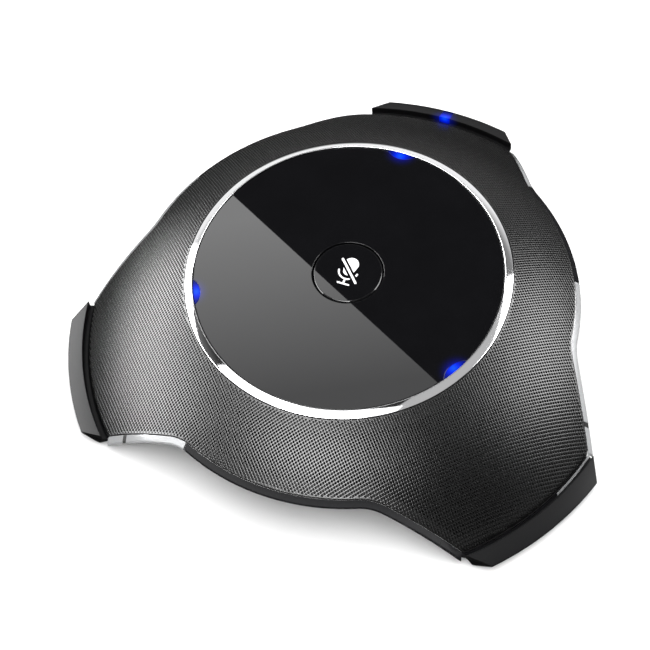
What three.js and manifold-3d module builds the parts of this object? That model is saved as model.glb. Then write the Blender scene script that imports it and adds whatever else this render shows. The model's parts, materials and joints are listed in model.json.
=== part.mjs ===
// Conference speakerphone: a three-lobed tabletop unit with a domed perforated grille,
// a round glossy touch panel with one mute button, and a microphone behind each lobe's end cap.
// Millimetres, +Z up. The table is Z = 0, +Y points to the rear lobe.
import * as THREE from 'three';
import { mergeVertices } from 'three/addons/utils/BufferGeometryUtils.js';
import Module from 'manifold-3d';

const wasm = await Module();
wasm.setup();

// ---- Driving dimensions. Pieces are drawn about the three-fold axis, X = Y = 0.
const RING_RADIUS = 64; // outer edge of the chrome ring
const RING_HEIGHT = 46; // height of that edge above the table
const DOME_RADIUS = 136.5; // the grille is a piece of this sphere
const SIDE_RADIUS = 88.5; // grille edge midway between two lobes
const FLANK_DISTANCE = 79.7; // straight flanks of the lobes, measured from the axis
const LOBE_RADIUS = 109.2; // grille edge at the tip of a lobe
const WAIST_FILLET = 28; // hollow curve from the round side into the flank
const CORNER_FILLET = 4; // rounded corner of a lobe
const HOUSING_LEAN = 0.8; // the housing wall comes in this far for each millimetre down
const HOUSING_BOTTOM = 1.5; // underside of the housing, held up by the feet
const WALL = 2;
const FLOOR_TOP = 3.7;
const FIT = 0.3; // gap between neighbours
const PANEL_RADIUS = 60.6;
const PANEL_TOP = 47.05;
const PANEL_BOTTOM = 44.9;
const BUTTON_RADIUS = 13.7;
const CAP_INNER = 111.6; // end caps: inner and outer radius, and half their angles
const CAP_OUTER = 118.3;
const CAP_INNER_HALF = 16.8;
const CAP_OUTER_HALF = 13;
const TRIM_WIDTH = 2.35; // how far the bright trim stands out past the grille's edge
const TRIM_DEPTH = 1.6; // its underside, below the dome's surface
const ROUND = 30; // sides of a large round piece
const PANEL_SIDES = 48; // sides of the ring and the panel inside it
const SMALL_ROUND = 12;
const REACH = 118; // past every edge, before a planform trims it
const DOME_SIDES = 36;
const DOME_RADII = [76, 88, 99, LOBE_RADIUS]; // where the dome's facets meet

const LOBES = { rear: 90, left: 210, right: 330 };
const SIDES = { front: 270, right: 30, left: 150 };
const LIGHTS = { rear: 90, left: 207.3, right: 332.7 }; // status lights round the panel's edge
const radians = THREE.MathUtils.degToRad;

// ---- Materials
const paint = (color, roughness, metalness = 0) =>
  new THREE.MeshStandardMaterial({ color, roughness, metalness });
const finish = {
  grille: paint(0x2c2d30, 0.4, 0.8),
  chrome: paint(0xd9dcdf, 0.08, 1),
  gloss: paint(0x0a0a0b, 0.05),
  satin: paint(0x1b1b1c, 0.45),
  housing: paint(0x151516, 0.6),
  rubber: paint(0x1f1f20, 0.9),
  felt: paint(0x070707, 1),
  board: paint(0x0f4a2c, 0.5),
  steel: paint(0xa6a8aa, 0.35, 1),
  magnet: paint(0x2b2b2d, 0.5, 0.7),
  cone: paint(0x1c1c1e, 0.8),
  white: paint(0xf2f2f2, 0.4),
  light: paint(0x1f4cff, 0.3),
};

// ---- Solids
function solid(geometry) {
  const bare = geometry.clone();
  bare.deleteAttribute('normal');
  bare.deleteAttribute('uv');
  const merged = mergeVertices(bare, 1e-4);
  const corners = [];
  const index = merged.index.array;
  for (let i = 0; i < index.length; i += 3) {
    const [a, b, c] = [index[i], index[i + 1], index[i + 2]];
    if (a !== b && b !== c && c !== a) corners.push(a, b, c);
  }
  const mesh = new wasm.Mesh({
    numProp: 3,
    vertProperties: new Float32Array(merged.attributes.position.array),
    triVerts: new Uint32Array(corners),
  });
  return new wasm.Manifold(mesh);
}

function geometryOf(shape) {
  const mesh = shape.getMesh();
  const geometry = new THREE.BufferGeometry();
  geometry.setAttribute('position', new THREE.BufferAttribute(mesh.vertProperties, 3));
  geometry.setIndex(new THREE.BufferAttribute(mesh.triVerts, 1));
  geometry.computeVertexNormals();
  return geometry;
}

const box = (width, depth, height, x, y, z) =>
  solid(new THREE.BoxGeometry(width, depth, height).translate(x, y, z + height / 2));

function lathe(profile, segments = ROUND) {
  const points = profile.map(([r, z]) => new THREE.Vector2(r, z));
  return solid(new THREE.LatheGeometry(points, segments).rotateX(Math.PI / 2));
}

// A disc or ring between two heights, with its profile going round once.
function ring(inner, outer, low, high, segments = ROUND) {
  const profile = [[inner, low], [outer, low], [outer, high], [inner, high]];
  if (inner > 0) profile.push([inner, low]);
  return lathe(profile, segments);
}

function prism(shape, low, high, curveSegments = 8) {
  const depth = high - low;
  const extruded = new THREE.ExtrudeGeometry(shape, { depth, bevelEnabled: false, curveSegments });
  return solid(extruded.translate(0, 0, low));
}

const turned = (shape, degrees) => shape.rotate([0, 0, degrees]);
const union = (shapes) => shapes.reduce((sum, next) => sum.add(next));

function annularSector(inner, outer, centre, innerHalf, outerHalf = innerHalf) {
  const shape = new THREE.Shape();
  shape.absarc(0, 0, outer, radians(centre - outerHalf), radians(centre + outerHalf), false);
  shape.absarc(0, 0, inner, radians(centre + innerHalf), radians(centre - innerHalf), true);
  return shape;
}

// ---- The planform: three round sides, joined by straight-flanked lobes.
// Growing it by an offset moves every point along its own normal.
function planform(offset) {
  const origin = new THREE.Vector2();
  const waist = new THREE.Vector2(FLANK_DISTANCE + WAIST_FILLET, 0);
  waist.y = Math.sqrt((SIDE_RADIUS + WAIST_FILLET) ** 2 - waist.x ** 2);
  const corner = new THREE.Vector2(FLANK_DISTANCE - CORNER_FILLET, 0);
  corner.y = Math.sqrt((LOBE_RADIUS - CORNER_FILLET) ** 2 - corner.x ** 2);
  const half = [];
  const arc = (centre, radius, from, to, parts) => {
    for (const part of parts) {
      const angle = from + (to - from) * part;
      const spoke = new THREE.Vector2(Math.cos(angle), Math.sin(angle));
      half.push(spoke.multiplyScalar(radius).add(centre));
    }
  };
  arc(origin, SIDE_RADIUS + offset, 0, waist.angle(), [0.125, 0.375, 0.625, 0.875]);
  arc(waist, WAIST_FILLET - offset, waist.angle() + Math.PI, Math.PI, [0, 0.25, 0.5, 0.75, 1]);
  const flankStart = new THREE.Vector2(FLANK_DISTANCE + offset, waist.y);
  const flankEnd = new THREE.Vector2(FLANK_DISTANCE + offset, corner.y);
  for (const part of [0.25, 0.5, 0.75]) half.push(flankStart.clone().lerp(flankEnd, part));
  arc(corner, CORNER_FILLET + offset, 0, corner.angle(), [0, 0.33, 0.67, 1]);
  arc(origin, LOBE_RADIUS + offset, corner.angle(), Math.PI / 3, [0.25, 0.5, 0.75]);
  const tip = new THREE.Vector2(LOBE_RADIUS + offset, 0);
  const points = [];
  for (const middle of [SIDES.right, SIDES.left, SIDES.front]) {
    const lower = half.map((p) => new THREE.Vector2(p.x, -p.y)).reverse();
    const side = [...lower, ...half].map((p) => p.clone().rotateAround(origin, radians(middle)));
    points.push(...side, tip.clone().rotateAround(origin, radians(middle + 60)));
  }
  return points;
}

const DOME_CENTRE = RING_HEIGHT - Math.sqrt(DOME_RADIUS ** 2 - RING_RADIUS ** 2);
const domeHeight = (r, depth = 0) => Math.sqrt((DOME_RADIUS - depth) ** 2 - r ** 2) + DOME_CENTRE;

// Everything between two spheres concentric with the dome, from radius inner to outer.
function domeShell(top, bottom, inner, outer) {
  const radii = [inner, ...DOME_RADII.filter((r) => r > inner + 1), outer];
  const under = radii.map((r) => [r, domeHeight(r, bottom)]);
  const over = radii.reverse().map((r) => [r, domeHeight(r, top)]);
  return lathe([...under, ...over, under[0]], DOME_SIDES);
}

// The space under a sphere concentric with the dome.
function underDome(depth) {
  const radii = [REACH, ...DOME_RADII.toReversed(), 0];
  const over = radii.map((r) => [r, domeHeight(r, depth)]);
  return lathe([[0, -60], [REACH, -60], ...over], DOME_SIDES);
}

const planformPrism = (offset, low = -40, high = 60) =>
  prism(new THREE.Shape(planform(offset)), low, high);

// A solid with the planform's shape whose wall meets the dome's edge, grown by edgeOffset,
// and leans in below it. Round a lobe's corners it comes in no further than their fillet allows.
function leaningSolid(edgeOffset, low, high) {
  const at = (height) => {
    const grown = planform(1);
    return planform(0).map((p, i) => {
      const rise = height - domeHeight(p.length());
      const least = p.length() > LOBE_RADIUS - 2 ? -0.9 * CORNER_FILLET : -SIDE_RADIUS;
      return p.clone().lerp(grown[i], Math.max(edgeOffset + rise * HOUSING_LEAN, least));
    });
  };
  const lower = at(low);
  const upper = at(high);
  const count = lower.length;
  const positions = [...lower.flatMap((p) => [p.x, p.y, low]), ...upper.flatMap((p) => [p.x, p.y, high])];
  const index = [];
  for (let i = 0; i < count; i += 1) {
    const next = (i + 1) % count;
    index.push(i, next, count + next, i, count + next, count + i);
  }
  for (const [a, b, c] of THREE.ShapeUtils.triangulateShape(lower, [])) index.push(c, b, a);
  for (const [a, b, c] of THREE.ShapeUtils.triangulateShape(upper, [])) {
    index.push(count + a, count + b, count + c);
  }
  const geometry = new THREE.BufferGeometry();
  geometry.setAttribute('position', new THREE.Float32BufferAttribute(positions, 3));
  geometry.setIndex(index);
  return solid(geometry);
}

// ---- Grille, the felt under it and the frame that carries them
const GRILLE_THICKNESS = 0.8;
const GRILLE_INNER = RING_RADIUS + 0.4;

function meshGrille() {
  return domeShell(0, GRILLE_THICKNESS, GRILLE_INNER, REACH).intersect(planformPrism(0));
}

function dustScreen() {
  return domeShell(0.95, 1.3, GRILLE_INNER + 1.1, REACH).intersect(planformPrism(-2));
}

const SEAT_TOP = PANEL_BOTTOM - FIT;
const SEAT_BOTTOM = 42.6;
const LIGHT_RADIUS = 8; // each status light is the lens where this circle crosses the panel's edge
const LIGHT_CENTRE = 66;
const BASE_SCREW_RADIUS = 76;
const SPLIT_HEIGHT = 12; // where a frame boss meets a housing boss

function topFrame() {
  const shell = domeShell(1.45, 2.85, RING_RADIUS - 0.9, REACH).intersect(planformPrism(-3.2));
  const seat = ring(50, RING_RADIUS - 0.6, SEAT_BOTTOM, SEAT_TOP);
  const windows = [];
  for (const middle of Object.values(SIDES)) {
    for (const step of [-30, 0, 30]) {
      windows.push(prism(annularSector(69, 83, middle + step, 12), 0, 60, 2));
    }
  }
  const bosses = [];
  const holes = [];
  for (const lobe of Object.values(LOBES)) {
    windows.push(prism(annularSector(82, 98, lobe, 8), 0, 60, 2));
    const boss = ring(0, 3.6, SPLIT_HEIGHT, domeHeight(BASE_SCREW_RADIUS + 3.6, 2), SMALL_ROUND);
    bosses.push(turned(boss.translate([BASE_SCREW_RADIUS, 0, 0]), lobe));
    const hole = ring(0, 1.8, SPLIT_HEIGHT - 5, SPLIT_HEIGHT + 9, SMALL_ROUND);
    holes.push(turned(hole.translate([BASE_SCREW_RADIUS, 0, 0]), lobe));
  }
  for (const light of Object.values(LIGHTS)) {
    holes.push(prism(annularSector(55.2, 60.9, light, 7), 30, 60, 2));
  }
  const frame = shell.subtract(union(windows)).add(seat).add(union(bosses));
  return frame.subtract(union(holes)).subtract(ring(0, 63.3, SEAT_TOP, 60));
}

// ---- Bright trim round the grille's edge, in lengths between the lobes and across their tips
const SLOT_INNER = 110.4; // the microphone slot lies between this radius and the end cap
const SEAM = 19.8; // seams, in degrees each side of a lobe
const SEAM_HALF = 0.1;

function trimBand() {
  const band = domeShell(0.1, TRIM_DEPTH, 84, REACH).intersect(planformPrism(TRIM_WIDTH, 1.8));
  const slots = Object.values(LOBES).flatMap((lobe) => [
    prism(annularSector(SLOT_INNER, 125, lobe, CAP_INNER_HALF + 0.6), -20, 60, 6),
    prism(annularSector(100, 125, lobe, CAP_INNER_HALF + 0.6), -20, 5.7, 6),
  ]);
  return band.subtract(planformPrism(0.35)).subtract(union(slots));
}

const trimLength = (centre, half) =>
  trimBand().intersect(prism(annularSector(70, 125, centre, half - SEAM_HALF), -20, 60));

// ---- Bottom housing: a tub with a plug pocket and a cable channel in its underside
const POCKET = { half: 11, front: 14, back: 54, roof: 16.5 };
const CHANNEL = { front: 44, back: 52, roof: 9, wall: 2 };
const SPEAKER_POST_RADIUS = 42.5;
const SPEAKER_SEAT = 35.6;
const BOARD_BOTTOM = 18;
const BOARD_POSTS = [[-30, -12], [30, -12], [0, -33]];
const FOOT = { inner: 84, outer: 97, half: 10, recess: 0.8 };
const SOCKET = { half: 8.1, back: -3.3, low: 4.1, high: 17.5 };

function bottomHousing() {
  const outer = leaningSolid(1.1, HOUSING_BOTTOM, 48);
  const ledge = underDome(TRIM_DEPTH + FIT).add(underDome(1).intersect(planformPrism(0.05)));
  const body = outer.intersect(ledge);
  let tub = body.subtract(leaningSolid(1.1 - WALL, FLOOR_TOP, 52));
  const inside = body.intersect(underDome(4));
  const pocketLength = POCKET.back - POCKET.front;
  const pocketMiddle = (POCKET.back + POCKET.front) / 2;
  const channelDepth = CHANNEL.back - CHANNEL.front;
  const channelMiddle = (CHANNEL.back + CHANNEL.front) / 2;
  const walls = box(
    2 * (POCKET.half + WALL), pocketLength + 2 * WALL, POCKET.roof + WALL, 0, pocketMiddle, 0,
  ).add(box(150, channelDepth + 2 * CHANNEL.wall, CHANNEL.roof + CHANNEL.wall, 0, channelMiddle, 0));
  tub = tub.add(walls.intersect(inside));
  const posts = [];
  const bores = [];
  for (const turn of [45, 135, 225, 315]) {
    const post = ring(0, 3.6, FLOOR_TOP - 1, SPEAKER_SEAT - FIT, SMALL_ROUND);
    posts.push(turned(post.translate([SPEAKER_POST_RADIUS, 0, 0]), turn));
    const bore = ring(0, 1.7, SPEAKER_SEAT - 9, 60, SMALL_ROUND);
    bores.push(turned(bore.translate([SPEAKER_POST_RADIUS, 0, 0]), turn));
  }
  for (const [x, y] of BOARD_POSTS) {
    posts.push(ring(0, 2.6, FLOOR_TOP - 1, BOARD_BOTTOM - FIT, SMALL_ROUND).translate([x, y, 0]));
  }
  for (const lobe of Object.values(LOBES)) {
    const boss = ring(0, 3.6, FLOOR_TOP - 1, SPLIT_HEIGHT - FIT, SMALL_ROUND);
    posts.push(turned(boss.translate([BASE_SCREW_RADIUS, 0, 0]), lobe));
    const bore = ring(0, 1.8, 0, 60, SMALL_ROUND).add(ring(0, 3.2, 0, 4.6, SMALL_ROUND));
    bores.push(turned(bore.translate([BASE_SCREW_RADIUS, 0, 0]), lobe));
    const footRecess = annularSector(FOOT.inner - FIT, FOOT.outer + FIT, lobe, FOOT.half + 0.2);
    bores.push(prism(footRecess, 0, HOUSING_BOTTOM + FOOT.recess, 4));
    const port = new THREE.BoxGeometry(10, 6, 4).translate(LOBE_RADIUS, 0, 6.5);
    bores.push(turned(solid(port), lobe));
  }
  const pocket = box(2 * POCKET.half, pocketLength, POCKET.roof + 5, 0, pocketMiddle, -5);
  const channel = box(200, channelDepth, CHANNEL.roof + 5, 0, channelMiddle, -5);
  const mouth = box(13.6, 6, 10.6, 0, POCKET.front, 4.9);
  return tub.add(union(posts)).subtract(union(bores)).subtract(pocket).subtract(channel).subtract(mouth);
}

const foot = (lobe) =>
  prism(annularSector(FOOT.inner, FOOT.outer, lobe, FOOT.half), 0, HOUSING_BOTTOM + FOOT.recess - FIT, 4);

// ---- End caps: a bar across each lobe whose top slopes down to a thin outer edge
function endCapBody() {
  const profile = [
    [106.9, 1.7], [113.6, 1.7], [118.2, 4.1], [CAP_OUTER, 5.25], [CAP_INNER, 8.8], [CAP_INNER, 5.4],
    [109.5, 5.4], [106.9, 2], [106.9, 1.7],
  ];
  const outer = 121;
  const slant = (CAP_INNER_HALF - CAP_OUTER_HALF) / (CAP_OUTER - CAP_INNER);
  const wedge = (r) => CAP_INNER_HALF - (r - CAP_INNER) * slant;
  const shape = new THREE.Shape();
  const corner = (r, half, side) =>
    new THREE.Vector2(r * Math.cos(radians(side * half)), r * Math.sin(radians(side * half)));
  shape.setFromPoints([
    corner(100, wedge(CAP_INNER), -1), corner(CAP_INNER, wedge(CAP_INNER), -1),
    corner(outer, wedge(outer), -1), corner(outer + 4, 0, 1), corner(outer, wedge(outer), 1),
    corner(CAP_INNER, wedge(CAP_INNER), 1), corner(100, wedge(CAP_INNER), 1),
  ]);
  return lathe(profile, 90).intersect(prism(shape, -5, 20));
}

const CAP_LIGHT_HALF = 2.3;

function endCap(lobe) {
  let cap = endCapBody();
  if (lobe === LOBES.rear) {
    cap = cap.subtract(box(8, 2 * (CAP_LIGHT_HALF + 0.1), 10, 114.2, 0, 4.9));
  }
  return turned(cap, lobe);
}

function capLight() {
  const inset = 0.05;
  const profile = [
    [CAP_INNER, 5], [118, 5], [118, 5.36], [CAP_INNER, 8.75], [CAP_INNER, 5],
  ];
  const whole = lathe(profile, 90);
  const clip = box(8 - 4 * inset, 2 * CAP_LIGHT_HALF, 10, 114.2, 0, 4.9 + inset);
  return turned(whole.intersect(clip), LOBES.rear);
}

// ---- Ring, panel, lights and button
function bezelRing() {
  const top = RING_HEIGHT + 1.45;
  return lathe([
    [PANEL_RADIUS + FIT, PANEL_BOTTOM], [RING_RADIUS - 0.6, PANEL_BOTTOM], [RING_RADIUS, 45.5],
    [RING_RADIUS, RING_HEIGHT], [PANEL_RADIUS + 0.5, top], [PANEL_RADIUS + FIT, top - 0.1],
    [PANEL_RADIUS + FIT, PANEL_BOTTOM],
  ], PANEL_SIDES);
}

const lightDisc = (radius, low, high, light) =>
  turned(ring(0, radius, low, high, 24).translate([LIGHT_CENTRE, 0, 0]), light);

function touchPanel() {
  const hole = BUTTON_RADIUS + 0.4;
  const profile = [
    [hole, PANEL_BOTTOM], [PANEL_RADIUS, PANEL_BOTTOM], [PANEL_RADIUS, PANEL_TOP - 0.2],
    [PANEL_RADIUS - 0.2, PANEL_TOP], [hole + 0.6, PANEL_TOP], [hole, PANEL_TOP - 0.6],
    [hole, PANEL_BOTTOM],
  ];
  const notches = Object.values(LIGHTS).map((light) => lightDisc(LIGHT_RADIUS + 0.1, 40, 50, light));
  return lathe(profile, PANEL_SIDES).subtract(union(notches));
}

function statusLight(light) {
  const disc = ring(0, PANEL_RADIUS, SEAT_BOTTOM + 1.2, PANEL_TOP - 0.05, PANEL_SIDES);
  return disc.intersect(lightDisc(LIGHT_RADIUS, 40, 50, light));
}

const BUTTON_TOP = PANEL_TOP;
const ICON_DEPTH = 0.3;

const ICON_HEAD = { top: 3.95, topRadius: 2.95, bottom: 0.35, bottomRadius: 2.1 };
const ICON_CRADLE = { middle: 0.75, outer: 4.15, inner: 3.5 };

// A struck-through microphone, each stroke grown by the same amount all round.
function iconStrokes(grow, low, high) {
  const bar = (length, width, x, y, turn = 0) => {
    const radius = width / 2 + grow;
    const reach = length / 2 - width / 2;
    const shape = new THREE.Shape();
    shape.absarc(reach, 0, radius, -Math.PI / 2, Math.PI / 2, false);
    shape.absarc(-reach, 0, radius, Math.PI / 2, 1.5 * Math.PI, false);
    return turned(prism(shape, low, high, 3), turn).translate([x, y, 0]);
  };
  const { top, topRadius, bottom, bottomRadius } = ICON_HEAD;
  const lean = Math.asin((topRadius - bottomRadius) / (top - bottom));
  const head = new THREE.Shape();
  head.absarc(0, top, topRadius + grow, -lean, Math.PI + lean, false);
  head.absarc(0, bottom, bottomRadius + grow, Math.PI + lean, 2 * Math.PI - lean, false);
  const { middle, outer, inner } = ICON_CRADLE;
  const cradle = new THREE.Shape();
  cradle.absarc(0, 0, outer + grow, Math.PI, 2 * Math.PI, false);
  cradle.absarc(0, 0, inner - grow, 2 * Math.PI, Math.PI, true);
  return union([
    prism(head, low, high, 7),
    prism(cradle, low, high, 6).translate([0, middle, 0]),
    bar(2.4, 0.7, 0, -4.3, 90),
    bar(5.2, 0.7, 0, -5.4),
    bar(13.3, 0.9, 0.2, 0.8, 134),
  ]);
}

function muteButton() {
  const r = BUTTON_RADIUS;
  const body = lathe([
    [0, 43.35], [3, 43.35], [3, 44.1], [15.2, 44.1], [15.2, 44.5], [r, 44.7], [r, BUTTON_TOP - 0.6],
    [r - 0.6, BUTTON_TOP], [0, BUTTON_TOP],
  ], ROUND);
  return body.subtract(iconStrokes(0.1, BUTTON_TOP - ICON_DEPTH, 60));
}

const muteIcon = () => iconStrokes(0, BUTTON_TOP - ICON_DEPTH + 0.05, BUTTON_TOP + 0.02);

// ---- Keypad board and the silicone dome under the button
const KEY_BOARD_TOP = SEAT_BOTTOM - FIT;

const muteDome = () =>
  lathe([[0, KEY_BOARD_TOP + 0.05], [5.5, KEY_BOARD_TOP + 0.05], [5.5, KEY_BOARD_TOP + 0.35],
    [3.4, KEY_BOARD_TOP + 0.95], [0, KEY_BOARD_TOP + 0.95]], 24);

const led = (light) => turned(box(1.6, 3.2, 0.9, 57.6, 0, KEY_BOARD_TOP + 0.05), light);

// ---- Loudspeaker, firing up under the panel
function speakerBasket() {
  const seat = SPEAKER_SEAT;
  const profile = [
    [21.4, 27], [38, seat], [46, seat], [46, seat + 1.6], [37, seat + 1.6], [20.2, 28.6], [13, 28.6],
    [13, 27.1], [21.4, 27],
  ];
  const holes = [45, 135, 225, 315].map((turn) =>
    turned(ring(0, 1.8, 30, 45, SMALL_ROUND).translate([SPEAKER_POST_RADIUS, 0, 0]), turn));
  return lathe(profile).subtract(union(holes));
}

const speakerMagnet = () =>
  lathe([[0, 21], [21, 21], [21, 26.7], [12.6, 26.7], [12.6, 24], [11, 24], [11, 28.8], [0, 28.8]]);

const speakerCone = () =>
  lathe([[0, 29.6], [6, 29.3], [11.5, 29.3], [33.6, 36.4], [33.6, 37.2], [11.5, 30.1], [6, 32], [0, 32.8]]);

const speakerSurround = () =>
  lathe([[33.9, 37.2], [36.7, 37.5], [39.5, 37.5], [39.5, 38.2], [36.9, 38.9], [33.9, 38.2],
    [33.9, 37.2]]);

// ---- Main board, its shield and the line socket
function mainBoard() {
  const notch = box(2 * (POCKET.half + WALL + 0.5), 60, 10, 0, 41.6, BOARD_BOTTOM - 4);
  return ring(0, 38, BOARD_BOTTOM, BOARD_BOTTOM + 1.6).subtract(notch);
}

function chipShield() {
  const base = BOARD_BOTTOM + 1.65;
  const hollow = box(12, 21, 4, -29.4, 0, base - 1);
  return box(12.6, 21.6, 3.4, -29.4, 0, base).subtract(hollow);
}

function lineSocket() {
  const depth = POCKET.front - WALL - FIT - SOCKET.back;
  const middle = SOCKET.back + depth / 2;
  const shell = box(2 * SOCKET.half, depth, SOCKET.high - SOCKET.low, 0, middle, SOCKET.low);
  const nose = box(12.9, 3, 10, 0, POCKET.front - 1.6, 5.2);
  const cavity = box(11.9, 20, 8.6, 0, 11.2, 6);
  const contacts = Array.from({ length: 8 }, (_, i) => box(0.5, 8, 0.8, (i - 3.5) * 1.02, 5, 14.2));
  return shell.add(nose).subtract(cavity).add(union(contacts));
}

// ---- A microphone behind each cap: rubber boot, capsule and its small board
const micBoot = (lobe) =>
  turned(box(2.8, 8, 4, 103, 0, 4).subtract(
    solid(new THREE.CylinderGeometry(0.8, 0.8, 6, 12).rotateZ(Math.PI / 2).translate(103, 0, 6)),
  ), lobe);
const micCapsule = (lobe) => turned(box(1.2, 4, 3, 100.7, 0, 4.5), lobe);
const micBoard = (lobe) => turned(box(1, 10, 4.2, 99.3, 0, 4), lobe);

// ---- Fasteners
function screw(headRadius, headHeight, length) {
  const socket = 1.3;
  const socketFloor = headHeight - 1;
  return lathe([
    [0, -length], [1.1, -length], [1.4, -length + 1], [1.4, 0], [headRadius, 0],
    [headRadius, headHeight * 0.6], [headRadius * 0.7, headHeight], [socket, headHeight],
    [socket, socketFloor], [0, socketFloor],
  ], SMALL_ROUND);
}

const baseScrew = (lobe) =>
  turned(screw(2.8, 1.8, 14).rotate([180, 0, 0]).translate([BASE_SCREW_RADIUS, 0, 4.3]), lobe);
const speakerScrew = (turn) =>
  turned(screw(2.8, 1.6, 8.5).translate([SPEAKER_POST_RADIUS, 0, SPEAKER_SEAT + 1.9]), turn);

// ---- Assembly. The origin is under the middle of the object's bounding box.
const frontReach = SIDE_RADIUS + TRIM_WIDTH;
const assembly = new THREE.Group();
const pieces = new THREE.Group();
pieces.position.y = (frontReach - CAP_OUTER) / 2;
assembly.add(pieces);

function place(name, shape, material) {
  const mesh = new THREE.Mesh(geometryOf(shape), material);
  mesh.name = name;
  pieces.add(mesh);
}

place('bottom_housing', bottomHousing(), finish.housing);
place('top_frame', topFrame(), finish.housing);
place('mesh_grille', meshGrille(), finish.grille);
place('dust_screen', dustScreen(), finish.felt);
for (const [side, middle] of Object.entries(SIDES)) {
  place(`side_trim_${side}`, trimLength(middle, 60 - SEAM), finish.chrome);
}
for (const [name, lobe] of Object.entries(LOBES)) {
  place(`tip_trim_${name}`, trimLength(lobe, SEAM), finish.chrome);
  place(`end_cap_${name}`, endCap(lobe), finish.satin);
  place(`status_light_${name}`, statusLight(LIGHTS[name]), finish.light);
  place(`led_${name}`, led(LIGHTS[name]), finish.white);
  place(`mic_boot_${name}`, micBoot(lobe), finish.rubber);
  place(`mic_capsule_${name}`, micCapsule(lobe), finish.steel);
  place(`mic_board_${name}`, micBoard(lobe), finish.board);
  place(`foot_${name}`, foot(lobe), finish.rubber);
  place(`base_screw_${name}`, baseScrew(lobe), finish.steel);
}
place('cap_light_rear', capLight(), finish.light);
place('bezel_ring', bezelRing(), finish.chrome);
place('touch_panel', touchPanel(), finish.gloss);
place('mute_button', muteButton(), finish.gloss);
place('mute_icon', muteIcon(), finish.white);
place('mute_dome', muteDome(), finish.rubber);
place('key_board', ring(0, 58, KEY_BOARD_TOP - 1.4, KEY_BOARD_TOP), finish.board);
place('speaker_basket', speakerBasket(), finish.steel);
place('speaker_magnet', speakerMagnet(), finish.magnet);
place('speaker_cone', speakerCone(), finish.cone);
place('speaker_surround', speakerSurround(), finish.rubber);
[45, 135, 225, 315].forEach((turn, i) => {
  place(`speaker_screw_${i + 1}`, speakerScrew(turn), finish.steel);
});
place('main_board', mainBoard(), finish.board);
place('chip_shield', chipShield(), finish.steel);
place('line_socket', lineSocket(), finish.gloss);

export default assembly;
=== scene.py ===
"""The looks of a three-lobed conference speakerphone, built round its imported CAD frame.

Shapes are drawn in millimetres about the speakerphone's own three-fold axis, with the table at
z = 0 and +Y towards the rear lobe. in_row_frame() moves them into the row frame, in metres.
"""
import json
from math import acos, asin, atan2, cos, hypot, pi, radians, sin, sqrt

import bmesh
import bpy
import numpy as np
from mathutils import Matrix, Quaternion, Vector


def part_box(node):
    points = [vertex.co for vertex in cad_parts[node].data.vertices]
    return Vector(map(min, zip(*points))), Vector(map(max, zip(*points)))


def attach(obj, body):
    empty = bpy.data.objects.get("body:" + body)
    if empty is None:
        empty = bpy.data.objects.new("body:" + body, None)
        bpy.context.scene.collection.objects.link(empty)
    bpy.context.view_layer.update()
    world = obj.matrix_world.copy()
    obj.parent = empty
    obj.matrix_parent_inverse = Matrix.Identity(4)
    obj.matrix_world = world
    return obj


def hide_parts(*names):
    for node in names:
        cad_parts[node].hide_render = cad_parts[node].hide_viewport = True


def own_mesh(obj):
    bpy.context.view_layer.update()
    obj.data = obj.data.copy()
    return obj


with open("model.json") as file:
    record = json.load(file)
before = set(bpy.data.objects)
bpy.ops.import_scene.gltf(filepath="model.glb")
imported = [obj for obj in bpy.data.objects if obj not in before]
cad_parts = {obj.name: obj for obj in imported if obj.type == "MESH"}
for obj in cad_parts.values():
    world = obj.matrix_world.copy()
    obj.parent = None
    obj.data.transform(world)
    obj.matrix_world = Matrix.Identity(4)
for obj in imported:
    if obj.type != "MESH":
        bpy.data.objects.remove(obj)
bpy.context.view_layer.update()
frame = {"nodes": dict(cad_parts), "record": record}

MM = 0.001

# ---- Driving dimensions, in millimetres
ring_low, ring_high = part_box("bezel_ring")
AXIS = Vector(((ring_low.x + ring_high.x) / 2, (ring_low.y + ring_high.y) / 2, 0))
RING_RADIUS = (ring_high.x - ring_low.x) / 2 / MM
PANEL_BOTTOM = ring_low.z / MM
PANEL_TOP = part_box("touch_panel")[1].z / MM
PANEL_RADIUS = 60.6
RING_HEIGHT = 46.0
DOME_RADIUS = 136.5
SIDE_RADIUS = 88.5
FLANK_DISTANCE = 79.7
LOBE_RADIUS = 109.2
WAIST_FILLET = 28.0
CORNER_FILLET = 4.0
HOUSING_LEAN = 0.8
HOUSING_BOTTOM = 1.5
HOUSING_EDGE = 1.1
WALL = 2.0
FLOOR_TOP = 3.7
TRIM_INNER = 0.35
TRIM_OUTER = 2.35
TRIM_DEPTH = 1.6
SLOT_INNER = 110.4
SLOT_HALF = 17.4
SEAM = 21.0
SEAM_HALF = 0.36
CAP_INNER = 111.6
CAP_OUTER = 118.3
CAP_INNER_HALF = 16.8
CAP_OUTER_HALF = 13.0
CAP_LIGHT_HALF = 2.3
BUTTON_RADIUS = 13.7
LIGHT_RADIUS = 8.0
LIGHT_CENTRE = 66.0
BASE_SCREW_RADIUS = 76.0
SPLIT_HEIGHT = 11.7

LOBES = {"rear": 90, "left": 210, "right": 330}
SIDES = {"right": 30, "left": 150, "front": 270}
LIGHTS = {"rear": 90, "left": 207.3, "right": 332.7}
DOME_CENTRE = RING_HEIGHT - sqrt(DOME_RADIUS**2 - RING_RADIUS**2)


def dome_height(radius, depth=0.0):
    """Height of a sphere concentric with the dome and depth below its surface."""
    return np.sqrt((DOME_RADIUS - depth) ** 2 - np.square(radius)) + DOME_CENTRE


def in_row_frame(points):
    """Points about the axis, in millimetres, as points of the row frame, in metres."""
    return np.asarray(points, float) * MM + np.array(AXIS)


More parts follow.
